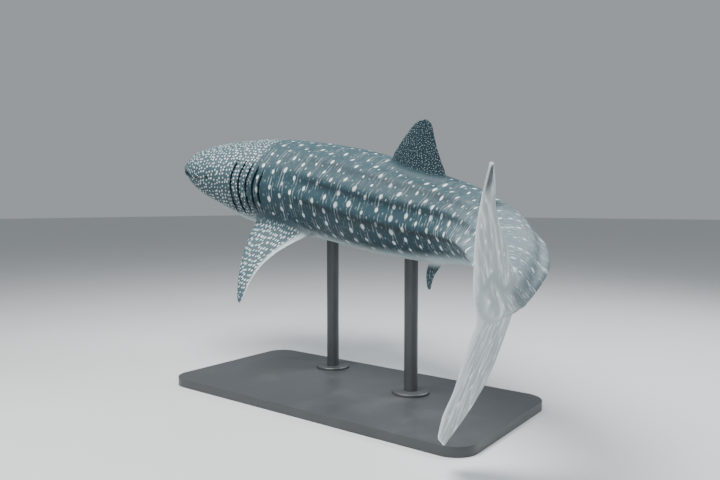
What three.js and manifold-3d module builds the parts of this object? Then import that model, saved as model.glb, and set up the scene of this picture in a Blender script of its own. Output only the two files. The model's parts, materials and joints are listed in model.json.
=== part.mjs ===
// A whale shark as a still, life-size museum model, turning to its left, on a display stand.
// Millimetres, +Z up. The head looks along -X, and the left side of the body faces -Y.
// Stations along the body and sizes across it are given in hundredths of the body length.
import * as THREE from 'three';
import { mergeVertices } from 'three/addons/utils/BufferGeometryUtils.js';
import Module from 'manifold-3d';

const wasm = await Module();
wasm.setup();

const BODY_LENGTH = 6000;
const UNIT = BODY_LENGTH / 100;
const GAP = 0.3;
const NOSE = new THREE.Vector3(-2101, 180, 2008);
// the snout is blunt: its stations lie closer together
const SNOUT = { until: 5, closer: 0.82 };

// station, half width, height of the back and depth of the belly over and under the spine line
const GIRTH = [
  [0, 2.6, 0.7, 0.7],
  [0.15, 3.8, 1.4, 1.4],
  [0.6, 5.0, 2.2, 2.1],
  [2, 6.1, 2.9, 3.0],
  [5, 7.2, 3.9, 4.3],
  [10, 7.9, 5.2, 6.0],
  [15, 8.2, 6.2, 7.4],
  [20, 8.2, 6.7, 7.7],
  [30, 7.9, 6.8, 7.2],
  [40, 7.2, 6.5, 6.5],
  [50, 6.0, 5.5, 5.5],
  [60, 4.7, 4.2, 4.1],
  [70, 3.3, 2.9, 2.8],
  [75, 2.6, 2.3, 2.2],
  [80, 1.9, 1.9, 1.5],
  [84, 1.0, 1.7, 1.4],
  [90, 0.35, 0.9, 0.6],
];

// station, turn to the side, dip of the tail, tip of the back to the left, all in degrees
const BEND = [
  [0, 24, 10.8, 13.7],
  [20, 3, 10.8, 13.7],
  [40, -17, 10.5, 13.7],
  [50, -20, 8, 12],
  [60, -36, 6, 6],
  [70, -55, 14, 0],
  [80, -80, 24, -10],
  [90, -93, 24, -25],
];

function curve(rows, column) {
  // a smooth curve through the rows that never overshoots them
  const x = rows.map((row) => row[0]);
  const y = rows.map((row) => row[column]);
  const slope = x.slice(1).map((value, i) => (y[i + 1] - y[i]) / (value - x[i]));
  const tangent = x.map((value, i) => {
    if (i === 0) return slope[0];
    if (i === x.length - 1) return slope[i - 1];
    if (slope[i - 1] * slope[i] <= 0) return 0;
    return (2 * slope[i - 1] * slope[i]) / (slope[i - 1] + slope[i]);
  });
  return (at) => {
    const value = Math.min(Math.max(at, x[0]), x[x.length - 1]);
    let i = 0;
    while (i < x.length - 2 && value > x[i + 1]) i += 1;
    const h = x[i + 1] - x[i];
    const t = (value - x[i]) / h;
    const a = 2 * t ** 3 - 3 * t ** 2 + 1;
    const b = t ** 3 - 2 * t ** 2 + t;
    const c = -2 * t ** 3 + 3 * t ** 2;
    const d = t ** 3 - t ** 2;
    return a * y[i] + b * h * tangent[i] + c * y[i + 1] + d * h * tangent[i + 1];
  };
}

const halfWidth = curve(GIRTH, 1);
const backHeight = curve(GIRTH, 2);
const bellyDepth = curve(GIRTH, 3);
const turn = curve(BEND, 1);
const dip = curve(BEND, 2);
const tip = curve(BEND, 3);

const rad = THREE.MathUtils.degToRad;
const ramp = (a, b, value) => THREE.MathUtils.smoothstep(value, a, b);

function axesAt(station) {
  const y = rad(turn(station));
  const p = rad(dip(station));
  const r = rad(tip(station));
  const along = new THREE.Vector3(Math.cos(y) * Math.cos(p), Math.sin(y) * Math.cos(p), -Math.sin(p));
  const level = new THREE.Vector3().crossVectors(along, new THREE.Vector3(0, 0, 1)).normalize();
  const upright = new THREE.Vector3().crossVectors(level, along);
  const left = level.clone().multiplyScalar(Math.cos(r)).addScaledVector(upright, -Math.sin(r));
  const up = upright.clone().multiplyScalar(Math.cos(r)).addScaledVector(level, Math.sin(r));
  return { along, left, up };
}

const SPINE_STEP = 0.25;
const SPINE = [NOSE.clone()];
for (let s = 0; s < 95; s += SPINE_STEP) {
  const { along } = axesAt(s + SPINE_STEP / 2);
  const step = SPINE_STEP * UNIT * (s < SNOUT.until ? SNOUT.closer : 1);
  SPINE.push(SPINE[SPINE.length - 1].clone().addScaledVector(along, step));
}

function frameAt(station) {
  const place = Math.max(station, 0) / SPINE_STEP;
  const i = Math.min(Math.floor(place), SPINE.length - 2);
  const at = SPINE[i].clone().lerp(SPINE[i + 1], place - i);
  return { at, ...axesAt(station) };
}

// a point from its station, its distance to the left of the spine and its height over it
function point(station, left, up) {
  const frame = frameAt(station);
  return frame.at.addScaledVector(frame.left, left * UNIT).addScaledVector(frame.up, up * UNIT);
}

// the three ridges that run along each side, and the keel that the lowest one turns into
const RIDGE_ANGLES = [26, 52];
const lowRidgeAngle = (s) => 78 + 12 * ramp(35, 72, s);
const ridgeHeight = (s) => 0.32 * ramp(16, 28, s) * (1 - ramp(58, 68, s));
const lowRidgeHeight = (s) => 0.34 * ramp(18, 30, s) + 0.7 * ramp(60, 70, s) * (1 - ramp(73, 81, s));
// low crest along the middle of the back, before and under the first dorsal fin
const crestHeight = (s) => 0.45 * ramp(24, 38, s) * (1 - ramp(58, 66, s));

const SIDE_STEPS = [4, 4, 4, 9];

function ringAngles(s) {
  const stops = [0, ...RIDGE_ANGLES, lowRidgeAngle(s), 180];
  const half = [];
  SIDE_STEPS.forEach((steps, k) => {
    for (let i = 0; i < steps; i += 1) half.push(stops[k] + ((stops[k + 1] - stops[k]) * i) / steps);
  });
  half.push(180);
  return half.concat(half.slice(1, -1).reverse().map((angle) => 360 - angle));
}

// the five gill openings of each side: each flap rises to its rear edge and drops into its slit
const GILLS = [13.9, 15.7, 17.4, 19, 20.5];
const GILL_TOP = [52, 53, 55, 58, 62];
const GILL_END = [122, 120, 117, 113, 108];

function gillRelief(s, angle) {
  let relief = 0;
  GILLS.forEach((slit, k) => {
    const side = ramp(GILL_TOP[k] - 6, GILL_TOP[k] + 6, angle) * (1 - ramp(GILL_END[k] - 6, GILL_END[k] + 6, angle));
    if (s > slit - 0.9 && s <= slit) relief += (0.2 * side * (s - slit + 0.9)) / 0.9;
    if (s > slit && s < slit + 0.35) relief -= 0.22 * side * (1 - (s - slit) / 0.35);
  });
  return relief;
}

// the gill openings bow towards the head at mid height
function gillBow(s, side) {
  const near = ramp(12.9, 14, s) * (1 - ramp(20.5, 22, s));
  return -0.5 * near * ramp(48, 85, side) * (1 - ramp(85, 126, side));
}

function skinPoint(s, angle, grow) {
  const side = angle > 180 ? 360 - angle : angle;
  const power = 2 / (2 + 0.45 * (1 - ramp(4, 22, s)));
  const across = Math.abs(Math.sin(rad(side))) ** power;
  const height = Math.abs(Math.cos(rad(side))) ** power;
  const spread = 9;
  let relief = gillRelief(s, side);
  RIDGE_ANGLES.forEach((crest) => {
    relief += ridgeHeight(s) * Math.exp(-(((side - crest) / spread) ** 2));
  });
  relief += lowRidgeHeight(s) * Math.exp(-(((side - lowRidgeAngle(s)) / spread) ** 2));
  relief += crestHeight(s) * Math.exp(-((side / spread) ** 2));
  let x = across * halfWidth(s);
  let y = height * (side < 90 ? backHeight(s) : -bellyDepth(s));
  const out = Math.hypot(x, y);
  const scale = 1 + (relief + grow / UNIT) / out;
  x *= scale;
  y *= scale;
  return point(s + gillBow(s, side), angle > 180 ? -x : x, y);
}

// rows of points that go round the body, closed at both ends by a fan about each row's middle
function loft(rows) {
  const count = rows[0].length;
  const vertices = rows.flat();
  const faces = [];
  for (let j = 0; j < rows.length - 1; j += 1) {
    for (let i = 0; i < count; i += 1) {
      const a = j * count + i;
      const b = j * count + ((i + 1) % count);
      faces.push([a, b, b + count], [a, b + count, a + count]);
    }
  }
  [0, rows.length - 1].forEach((j) => {
    const middle = new THREE.Vector3();
    rows[j].forEach((p) => middle.addScaledVector(p, 1 / count));
    vertices.push(middle);
    for (let i = 0; i < count; i += 1) {
      const a = j * count + i;
      const b = j * count + ((i + 1) % count);
      faces.push(j === 0 ? [vertices.length - 1, b, a] : [vertices.length - 1, a, b]);
    }
  });
  return solid(vertices, faces);
}

function solid(vertices, faces) {
  const mesh = (list) => new wasm.Mesh({
    numProp: 3,
    vertProperties: new Float32Array(vertices.flatMap((v) => [v.x, v.y, v.z])),
    triVerts: new Uint32Array(list.flat()),
  });
  const body = new wasm.Manifold(mesh(faces));
  return body.volume() > 0 ? body : new wasm.Manifold(mesh(faces.map(([a, b, c]) => [a, c, b])));
}

function solidOf(geometry) {
  const bare = geometry.clone();
  bare.deleteAttribute('uv');
  bare.deleteAttribute('normal');
  const merged = mergeVertices(bare, 0.001);
  const position = merged.attributes.position;
  const vertices = [];
  for (let i = 0; i < position.count; i += 1) vertices.push(new THREE.Vector3().fromBufferAttribute(position, i));
  const index = Array.from(merged.index.array);
  const faces = [];
  for (let i = 0; i < index.length; i += 3) {
    const [a, b, c] = index.slice(i, i + 3);
    if (a !== b && b !== c && a !== c) faces.push([a, b, c]);
  }
  return solid(vertices, faces);
}

const largest = (body) => body.decompose().sort((a, b) => b.volume() - a.volume())[0];

// one length of the body between two stations, with a hair of room at each cut
function bodyLength(stations, grow = 0) {
  const last = stations.length - 1;
  return loft(stations.map((s, j) => {
    const shift = frameAt(s).along.multiplyScalar(j === 0 && s > 0 ? GAP / 2 : j === last ? -GAP / 2 : 0);
    return ringAngles(s).map((angle) => skinPoint(s, angle, grow).add(shift));
  }));
}

const range = (from, to, steps) => Array.from({ length: steps + 1 }, (_, i) => from + ((to - from) * i) / steps);
const gillStations = GILLS.flatMap((slit) => [slit - 0.88, slit, slit + 0.06, slit + 0.36]);

const LENGTHS = {
  head: [0, 0.05, 0.15, 0.35, 0.6, 1.2, 2, 3, 4, 5, 6, 7.5, 9, 11, 12.8],
  trunk_front: [12.8, ...gillStations, 22, 24, 26, 28],
  trunk_middle: range(28, 42, 7),
  trunk_rear: range(42, 57, 8),
  tail_front: range(57, 71.5, 9),
  tail_rear: range(71.5, 80.5, 7),
};

// the whole body grown by the gap, which the fins and the rods are cut off at
const allStations = [...new Set(Object.values(LENGTHS).flat())];
const bodyRoom = loft(allStations.map((s, j) => {
  const shift = frameAt(s).along.multiplyScalar(j === allStations.length - 1 ? GAP / 2 : 0);
  return ringAngles(s).map((angle) => skinPoint(s, angle, GAP).add(shift));
}));

const ROUND_TIP = 0.9;

// a blade from its two edges: both faces carry the same net of points, so it is even all over
function blade({ lead, trail, thick, face, across = 8, out = 12 }) {
  const front = [];
  const behind = [];
  range(0, 1, out).forEach((step) => {
    const v = 1 - (1 - step) ** 1.5;
    const narrowed = 0.5 - 0.5 * Math.sqrt(1 - (Math.max(0, v - ROUND_TIP) / (1.004 - ROUND_TIP)) ** 2);
    const a = lead(v).lerp(trail(v), narrowed);
    const b = trail(v).lerp(lead(v), narrowed);
    const side = face(v);
    range(0, 1, across).forEach((c) => {
      const hump = Math.sqrt(c) * (1 - c) ** 0.8 * 2.1;
      const half = 2.5 + (thick(v) / 2) * hump;
      const middle = a.clone().lerp(b, c);
      front.push(middle.clone().addScaledVector(side, half));
      behind.push(middle.clone().addScaledVector(side, -half));
    });
  });
  const n = across + 1;
  const m = out + 1;
  const far = front.length;
  const faces = [];
  const quad = (a, b, c, d) => faces.push([a, b, c], [a, c, d]);
  for (let j = 0; j < m - 1; j += 1) {
    for (let i = 0; i < n - 1; i += 1) {
      const a = j * n + i;
      quad(a, a + 1, a + n + 1, a + n);
      quad(far + a, far + a + n, far + a + n + 1, far + a + 1);
    }
    const e = j * n;
    quad(e, e + n, far + e + n, far + e);
    quad(e + n - 1, far + e + n - 1, far + e + 2 * n - 1, e + 2 * n - 1);
  }
  const top = (m - 1) * n;
  for (let i = 0; i < n - 1; i += 1) {
    quad(i, far + i, far + i + 1, i + 1);
    quad(top + i, top + i + 1, far + top + i + 1, far + top + i);
  }
  return solid(front.concat(behind), faces);
}

const mix = (a, b, t) => a + (b - a) * t;

// upright fins of the middle line: station and height of each edge from root to tip
function middleFin({ from, to, tipFrom, tipTo, height, hook, root, sink, thickness, below = false, out = 10 }) {
  const sign = below ? -1 : 1;
  const rim = below ? bellyDepth : backHeight;
  const edge = (start, end, bulge) => (v) => {
    const s = mix(start, end, v) + bulge * Math.sin(Math.PI * v);
    const base = rim(mix(from, to, 0.5)) - sink;
    return point(s, 0, sign * (base + (height + sink) * v));
  };
  return blade({
    lead: edge(from, tipFrom, -root),
    trail: edge(to, tipTo, -hook),
    thick: (v) => thickness * UNIT * (1 - 0.8 * v),
    face: () => frameAt(mix(from, to, 0.5)).left,
    out,
  });
}

// paired fins: the root line on the body, and the tip as steps back, out and down from its front
function pairedFin({ side, from, to, angle, back, away, down, hook, bow, thickness, sink, tipChord, out = 12 }) {
  const rootAt = (s) => {
    const across = Math.sin(rad(angle)) * halfWidth(s) - sink;
    const height = Math.cos(rad(angle)) * bellyDepth(s);
    return [s, across, height];
  };
  const [s0, x0, y0] = rootAt(from);
  const [s1, x1, y1] = rootAt(to);
  const lead = (v) => point(
    mix(s0, s0 + back, v ** 1.25),
    side * (mix(x0, x0 + away, v) + bow * Math.sin(Math.PI * v)),
    mix(y0, y0 - down, v),
  );
  const trail = (v) => point(
    mix(s1, s0 + back + tipChord, v) - hook * Math.sin(Math.PI * v ** 0.8),
    side * (mix(x1, x0 + away, v) + bow * Math.sin(Math.PI * v)),
    mix(y1, y0 - down, v),
  );
  const face = (v) => {
    const chord = trail(v).sub(lead(v)).normalize();
    const span = lead(Math.min(v + 0.05, 1)).sub(lead(Math.max(v - 0.05, 0))).normalize();
    return new THREE.Vector3().crossVectors(chord, span).normalize();
  };
  return blade({ lead, trail, face, thick: (v) => thickness * UNIT * (1 - 0.85 * v), out });
}

const material = (name, color, roughness, metalness = 0) => {
  const made = new THREE.MeshStandardMaterial({ color, roughness, metalness });
  made.name = name;
  return made;
};

const group = new THREE.Group();
group.name = 'whale_shark';

function add(name, body, color, roughness = 0.7, metalness = 0) {
  const kept = largest(body);
  const { vertProperties, triVerts } = kept.getMesh();
  const geometry = new THREE.BufferGeometry();
  geometry.setAttribute('position', new THREE.BufferAttribute(new Float32Array(vertProperties), 3));
  geometry.setIndex(new THREE.BufferAttribute(new Uint32Array(triVerts), 1));
  geometry.computeVertexNormals();
  const mesh = new THREE.Mesh(geometry, material(name, color, roughness, metalness));
  mesh.name = name;
  group.add(mesh);
  return kept;
}

const SLATE = 0x44606b;
const PALE = 0x8fa3a8;
const DARK_EYE = 0x15181a;
const STAND_PAINT = 0x2f3336;

// Eyes: small balls low on the sides of the head, just behind the corners of the mouth.
const EYE = { station: 5.2, angle: 92, radius: 27, proud: 14 };

function eyeCentre(side) {
  const angle = side > 0 ? EYE.angle : 360 - EYE.angle;
  const out = skinPoint(EYE.station, angle, 0);
  const inward = frameAt(EYE.station).left.multiplyScalar(side);
  return out.addScaledVector(inward, EYE.proud - EYE.radius);
}

function ball(centre, radius, rings = 12) {
  const geometry = new THREE.SphereGeometry(radius, rings * 2, rings);
  geometry.translate(centre.x, centre.y, centre.z);
  return solidOf(geometry);
}

// Mouth: a wide slit across the blunt front of the head that runs back to its corners near the eyes,
// between an upper and a lower lip that stand out as low rolls.
const MOUTH_ANGLE = 93;
const MOUTH_CORNER = 3.9;
const mouthFront = (s) => MOUTH_ANGLE + 5 * ramp(1.5, MOUTH_CORNER, s);

// the line of the mouth on the skin, from the right corner round the front to the left one,
// raised or lowered by an angle and pushed out of the skin by a height
function mouthLine(lift, out) {
  const sides = [3.9, 3.2, 2.5, 1.9, 1.4, 1.0, 0.7, 0.45, 0.28, 0.15, 0.06];
  const line = sides.map((s) => ({ s, angle: mouthFront(s) }));
  const right = line.map(({ s, angle }) => skinPoint(s, 360 - angle + lift / (0.4 + s * 0.25), out));
  const left = line.map(({ s, angle }) => skinPoint(s, angle - lift / (0.4 + s * 0.25), out));
  return right.concat(left.reverse());
}

// a round roll along a line, with tapered ends
function roll(line, radius, sides = 8) {
  return loft(line.map((at, j) => {
    const before = line[Math.max(j - 1, 0)];
    const after = line[Math.min(j + 1, line.length - 1)];
    const along = after.clone().sub(before).normalize();
    const up = frameAt(0).up;
    const out = new THREE.Vector3().crossVectors(along, up).normalize();
    const over = new THREE.Vector3().crossVectors(out, along).normalize();
    const end = Math.min(j, line.length - 1 - j);
    const size = radius * Math.min(1, 0.35 + end * 0.2);
    return range(0, 1, sides).slice(0, -1).map((turned) => at.clone()
      .addScaledVector(out, Math.cos(turned * 2 * Math.PI) * size)
      .addScaledVector(over, Math.sin(turned * 2 * Math.PI) * size));
  }));
}

const LIP = { radius: 26, spread: 3.6 };
const SLIT = 15;

let head = bodyLength(LENGTHS.head);
head = head.add(roll(mouthLine(LIP.spread, -10), LIP.radius));
head = head.add(roll(mouthLine(-LIP.spread, -12), LIP.radius));
head = head.subtract(roll(mouthLine(0, 2), SLIT));

// Nostrils at the upper lip near its corners, each under a short flap, and spiracles behind the eyes.
const NOSTRIL = { station: 0.75, angle: 76, radius: 13 };
// low rim of skin round each eye, with no lids
const LID = { wider: 11, deeper: 17 };
const SPIRACLE = { station: 7.6, angle: 88, radius: 17 };
[1, -1].forEach((side) => {
  const at = ({ station, angle }, out) => skinPoint(station, side > 0 ? angle : 360 - angle, out);
  head = head.subtract(ball(at(NOSTRIL, -2), NOSTRIL.radius, 8));
  head = head.add(ball(at({ station: 0.55, angle: 70 }, -6), NOSTRIL.radius, 8));
  head = head.subtract(ball(at(SPIRACLE, 2), SPIRACLE.radius, 8));
  const lid = eyeCentre(side).addScaledVector(frameAt(EYE.station).left, -side * LID.deeper);
  head = head.add(ball(lid, EYE.radius + LID.wider, 10));
  head = head.subtract(ball(eyeCentre(side), EYE.radius + GAP));
});
add('head', head, SLATE);
Object.entries(LENGTHS).forEach(([name, stations]) => {
  if (name !== 'head') add(name, bodyLength(stations), SLATE);
});

[1, -1].forEach((side) => {
  add(side > 0 ? 'eye_left' : 'eye_right', ball(eyeCentre(side), EYE.radius), DARK_EYE, 0.2);
});

// Fins. Each root is sunk in the body and cut off a hair clear of it.
const cutFin = (fin) => fin.subtract(bodyRoom);

add('first_dorsal_fin', cutFin(middleFin({
  from: 41, to: 55.2, tipFrom: 49.4, tipTo: 52, height: 6.8, hook: 0.6, root: 0.7, sink: 1.2, thickness: 1.6,
})), SLATE);
add('second_dorsal_fin', cutFin(middleFin({
  from: 61.8, to: 65.6, tipFrom: 64.4, tipTo: 65.4, height: 3.1, hook: 0.5, root: -0.2, sink: 0.8, thickness: 0.8, out: 7,
})), SLATE);
add('anal_fin', cutFin(middleFin({
  from: 67.2, to: 70.6, tipFrom: 70, tipTo: 70.9, height: 3, hook: 0.5, root: -0.2, sink: 0.8, thickness: 0.8,
  below: true, out: 7,
})), PALE);
[1, -1].forEach((side) => {
  const tag = side > 0 ? 'left' : 'right';
  add(`pectoral_fin_${tag}`, cutFin(pairedFin({
    side, from: 17.4, to: 31.8, angle: 128, back: 6.6, away: 11.1, down: 9.1, hook: 3.4, bow: 1.2,
    thickness: 1.7, sink: 1.0, tipChord: 1.2,
  })), SLATE);
  add(`pelvic_fin_${tag}`, cutFin(pairedFin({
    side, from: 53.4, to: 56.9, angle: 146, back: 3.2, away: 2.4, down: 2.6, hook: 0.5, bow: 0.3,
    thickness: 0.7, sink: 0.6, tipChord: 0.8, out: 7,
  })), SLATE);
});

// Tail fin: a tall upper lobe round the end of the spine and a shorter lower one.
const TAIL_ROOT = 80.5;
const tailFrame = { ...axesAt(90), at: frameAt(TAIL_ROOT).at };
const tailPoint = (along, up, left = 0) => tailFrame.at.clone()
  .addScaledVector(tailFrame.along, along * UNIT)
  .addScaledVector(tailFrame.up, up * UNIT)
  .addScaledVector(tailFrame.left, left * UNIT);

// Each lobe is a net between two edges. A row holds how far out it is, then the place of the leading
// edge and of the trailing edge, along the root line and up from it. A lobe may turn as it goes out.
function tailLobe({ rows, thickness, twist = 0 }) {
  const [leadAlong, leadUp, trailAlong, trailUp] = [1, 2, 3, 4].map((column) => curve(rows, column));
  const turned = (along, up) => {
    const angle = rad(twist) * Math.min(1, Math.abs(up) / 12);
    return tailPoint(along * Math.cos(angle), up, along * Math.sin(angle));
  };
  return blade({
    lead: (v) => turned(leadAlong(v), leadUp(v)),
    trail: (v) => turned(trailAlong(v), trailUp(v)),
    thick: (v) => thickness * UNIT * (1 - 0.85 * Math.sqrt(v)),
    face: () => tailFrame.left,
    across: 9,
    out: 14,
  });
}

const UPPER_LOBE = [
  [0, -4.0, -1.3, 4.5, -1.0],
  [0.15, -1.7, 2.0, 5.0, 2.2],
  [0.3, 0.3, 4.5, 6.6, 4.8],
  [0.5, 3.0, 8.0, 7.9, 8.1],
  [0.65, 5.0, 10.4, 8.9, 10.9],
  [0.8, 7.0, 13.0, 9.5, 13.2],
  [0.9, 8.0, 15.0, 9.7, 15.0],
  [1, 9.0, 17.3, 9.9, 17.2],
];
const LOWER_LOBE = [
  [0, -3.6, -0.4, 4.6, 0.6],
  [0.15, -3.9, -3.4, 4.3, -1.6],
  [0.35, -3.3, -7.0, 4.0, -5.0],
  [0.6, -2.2, -11.0, 3.8, -8.8],
  [0.8, -0.6, -14.4, 4.2, -12.8],
  [0.9, 0.7, -16.0, 4.1, -15.2],
  [1, 2.3, -17.8, 3.1, -17.7],
];

const tailCore = (grow) => loft(range(0, 1, 7).map((v) => {
  const start = frameAt(TAIL_ROOT);
  const turned = ramp(0, 0.5, v);
  const rise = rad(48 * v);
  const blend = (a, b) => a.clone().lerp(b, turned).normalize();
  const along = blend(start.along, tailFrame.along);
  const sideways = blend(start.left, tailFrame.left);
  const upward = new THREE.Vector3().crossVectors(sideways, along).normalize();
  const tall = upward.clone().multiplyScalar(Math.cos(rise)).addScaledVector(along, -Math.sin(rise));
  const centre = tailPoint(5.2 * v, 5.6 * v * v).addScaledVector(start.along, v === 0 ? GAP / 2 - (grow ? GAP : 0) : 0);
  const wide = mix(halfWidth(TAIL_ROOT), 0.35, v ** 0.8) * UNIT + grow;
  const high = mix(1, 0.75, v) * UNIT;
  return ringAngles(TAIL_ROOT).map((angle) => {
    const across = Math.sin(rad(angle)) * wide;
    const reach = Math.cos(rad(angle)) * (high * (angle < 90 || angle > 270 ? backHeight(TAIL_ROOT) : bellyDepth(TAIL_ROOT)) + grow);
    return centre.clone().addScaledVector(sideways, across).addScaledVector(tall, reach);
  });
}));
function overRoot(level) {
  // a large block over the line where the two lobes meet
  const block = new THREE.BoxGeometry(3000, 3000, 3000);
  block.translate(0, 0, 1500 + level);
  block.applyMatrix4(new THREE.Matrix4().makeBasis(tailFrame.along, tailFrame.left, tailFrame.up));
  block.translate(tailFrame.at.x, tailFrame.at.y, tailFrame.at.z);
  return solidOf(block);
}

const upperLobe = tailLobe({ rows: UPPER_LOBE, thickness: 1.5 }).intersect(overRoot(0));
add('tail_fin_upper', upperLobe.add(tailCore(0)).subtract(bodyRoom), PALE);
const lowerLobe = tailLobe({ rows: LOWER_LOBE, thickness: 1.4, twist: 12 }).subtract(overRoot(-GAP));
add('tail_fin_lower', lowerLobe.subtract(tailCore(GAP)).subtract(bodyRoom), PALE);

// Stand: a flat base and two rods up to the belly, all of painted metal.
const BASE = { length: 2900, width: 1400, thick: 70, corner: 180 };
const ROD = { radius: 55, foot: 150, footThick: 22 };

const outline = new THREE.Shape();
const hx = BASE.length / 2;
const hy = BASE.width / 2;
outline.moveTo(-hx + BASE.corner, -hy);
outline.lineTo(hx - BASE.corner, -hy);
outline.absarc(hx - BASE.corner, -hy + BASE.corner, BASE.corner, -Math.PI / 2, 0);
outline.absarc(hx - BASE.corner, hy - BASE.corner, BASE.corner, 0, Math.PI / 2);
outline.absarc(-hx + BASE.corner, hy - BASE.corner, BASE.corner, Math.PI / 2, Math.PI);
outline.absarc(-hx + BASE.corner, -hy + BASE.corner, BASE.corner, Math.PI, Math.PI * 1.5);
const base = new THREE.ExtrudeGeometry(outline, { depth: BASE.thick, bevelEnabled: false, curveSegments: 8 });
add('stand_base', solidOf(base), STAND_PAINT, 0.5);

[['front', 28.5], ['rear', 46.5]].forEach(([tag, station]) => {
  const foot = frameAt(station).at;
  const turnedRound = (rows) => {
    const lathe = new THREE.LatheGeometry(rows.map(([r, z]) => new THREE.Vector2(r, z)), 32);
    lathe.rotateX(Math.PI / 2);
    lathe.translate(foot.x, foot.y, 0);
    return solidOf(lathe);
  };
  const low = BASE.thick + GAP;
  const high = low + ROD.footThick;
  const plate = turnedRound([[0, low], [ROD.foot, low], [ROD.foot, high - 6], [ROD.foot - 6, high], [0, high]]);
  add(`stand_foot_${tag}`, plate, STAND_PAINT, 0.45, 0.2);
  const rod = turnedRound([[0, high + GAP], [ROD.radius, high + GAP], [ROD.radius, foot.z], [0, foot.z]]);
  add(`stand_rod_${tag}`, rod.subtract(bodyRoom), STAND_PAINT, 0.45, 0.2);
});

export default group;
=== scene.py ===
import heapq
import json
import math

import bpy
from mathutils import Matrix, Vector

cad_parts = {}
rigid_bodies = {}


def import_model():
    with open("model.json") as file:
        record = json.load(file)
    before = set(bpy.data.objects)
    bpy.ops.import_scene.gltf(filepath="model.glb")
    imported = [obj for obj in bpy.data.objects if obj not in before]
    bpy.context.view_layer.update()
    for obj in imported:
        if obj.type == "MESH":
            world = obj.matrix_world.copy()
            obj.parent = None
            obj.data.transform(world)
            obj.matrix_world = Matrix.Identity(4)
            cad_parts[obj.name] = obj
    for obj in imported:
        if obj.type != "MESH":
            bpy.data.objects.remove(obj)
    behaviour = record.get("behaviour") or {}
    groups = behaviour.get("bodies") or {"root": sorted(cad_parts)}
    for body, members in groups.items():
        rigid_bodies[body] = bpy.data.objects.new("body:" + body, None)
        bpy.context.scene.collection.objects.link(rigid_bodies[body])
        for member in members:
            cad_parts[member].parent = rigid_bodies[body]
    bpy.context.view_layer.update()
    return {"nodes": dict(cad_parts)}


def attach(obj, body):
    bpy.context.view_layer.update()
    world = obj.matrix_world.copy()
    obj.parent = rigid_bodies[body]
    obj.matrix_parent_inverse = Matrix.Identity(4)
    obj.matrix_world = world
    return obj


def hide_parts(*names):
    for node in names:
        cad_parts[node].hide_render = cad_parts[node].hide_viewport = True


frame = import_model()

# Skin of the whale shark: one outer surface over the head, the trunk, the tail and all the fins, of
# tough hide with a fine grain. It is laid over the same spine and girths as the solid lengths of the
# body, and the fins, lips and rims are fused to it, so that no seam shows.
LENGTH = 6.0
UNIT = LENGTH / 100
NOSE = Vector((-2.101, 0.180, 2.008))
# by station, in hundredths of the length: half the width, height of the back, depth of the belly
GIRTH = [
    (0, 2.6, 0.7, 0.7), (0.15, 3.8, 1.4, 1.4), (0.6, 5.0, 2.2, 2.1), (2, 6.1, 2.9, 3.0),
    (5, 7.2, 3.9, 4.3), (10, 7.9, 5.2, 6.0), (15, 8.2, 6.2, 7.4), (20, 8.2, 6.7, 7.7),
    (30, 7.9, 6.8, 7.2), (40, 7.2, 6.5, 6.5), (50, 6.0, 5.5, 5.5), (60, 4.7, 4.2, 4.1),
    (70, 3.3, 2.9, 2.8), (75, 2.6, 2.3, 2.2), (80, 1.9, 1.9, 1.5), (84, 1.0, 1.7, 1.4), (90, 0.35, 0.9, 0.6),
]
# by station, in degrees: the way the body runs in plan, how much it falls and how far it leans over
BEND = [
    (0, 24, 10.8, 13.7), (20, 3, 10.8, 13.7), (40, -17, 10.5, 13.7), (50, -20, 8, 12),
    (60, -36, 6, 6), (70, -55, 14, 0), (80, -80, 24, -10), (90, -93, 24, -25),
]


def curve(rows, column):
    """A smooth curve through one column of a table, level where its values turn back."""
    x = [row[0] for row in rows]
    y = [row[column] for row in rows]
    slope = [(y[i + 1] - y[i]) / (x[i + 1] - x[i]) for i in range(len(x) - 1)]
    tangent = [slope[0]]
    for i in range(1, len(x) - 1):
        a, b = slope[i - 1], slope[i]
        tangent.append(0.0 if a * b <= 0 else 2 * a * b / (a + b))
    tangent.append(slope[-1])

    def value(at):
        at = min(max(at, x[0]), x[-1])
        i = 0
        while i < len(x) - 2 and at > x[i + 1]:
            i += 1
        h = x[i + 1] - x[i]
        t = (at - x[i]) / h
        return (
            (2 * t**3 - 3 * t**2 + 1) * y[i] + (t**3 - 2 * t**2 + t) * h * tangent[i]
            + (-2 * t**3 + 3 * t**2) * y[i + 1] + (t**3 - t**2) * h * tangent[i + 1]
        )

    return value


half_width, back_height, belly_depth = (curve(GIRTH, k) for k in (1, 2, 3))
turn, dip, tip = (curve(BEND, k) for k in (1, 2, 3))


def ramp(a, b, value):
    """0 up to a, 1 from b on, smooth between."""
    t = min(max((value - a) / (b - a), 0.0), 1.0)
    return t * t * (3 - 2 * t)


def swell(value, middle, width):
    """1 at the middle, falling off smoothly on both sides."""
    return math.exp(-(((value - middle) / width) ** 2))


def mix(a, b, t):
    return a + (b - a) * t


def axes_at(s):
    """The body's own directions at a station: along to the tail, to its left, and up."""
    y, p, r = (math.radians(f(s)) for f in (turn, dip, tip))
    along = Vector((math.cos(y) * math.cos(p), math.sin(y) * math.cos(p), -math.sin(p)))
    level = along.cross(Vector((0, 0, 1))).normalized()
    upright = level.cross(along)
    left = level * math.cos(r) - upright * math.sin(r)
    up = upright * math.cos(r) + level * math.sin(r)
    return along, left, up


STEP = 0.25
SPINE_STEPS = 380
SNOUT_END, SNOUT_SHORTER = 5, 0.82
spine = [NOSE.copy()]
for k in range(SPINE_STEPS):
    shorter = SNOUT_SHORTER if k * STEP < SNOUT_END else 1
    spine.append(spine[-1] + axes_at((k + 0.5) * STEP)[0] * (STEP * UNIT * shorter))


def frame_at(s):
    place = max(s, 0) / STEP
    i = min(int(place), len(spine) - 2)
    return (spine[i].lerp(spine[i + 1], place - i), *axes_at(s))


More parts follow.
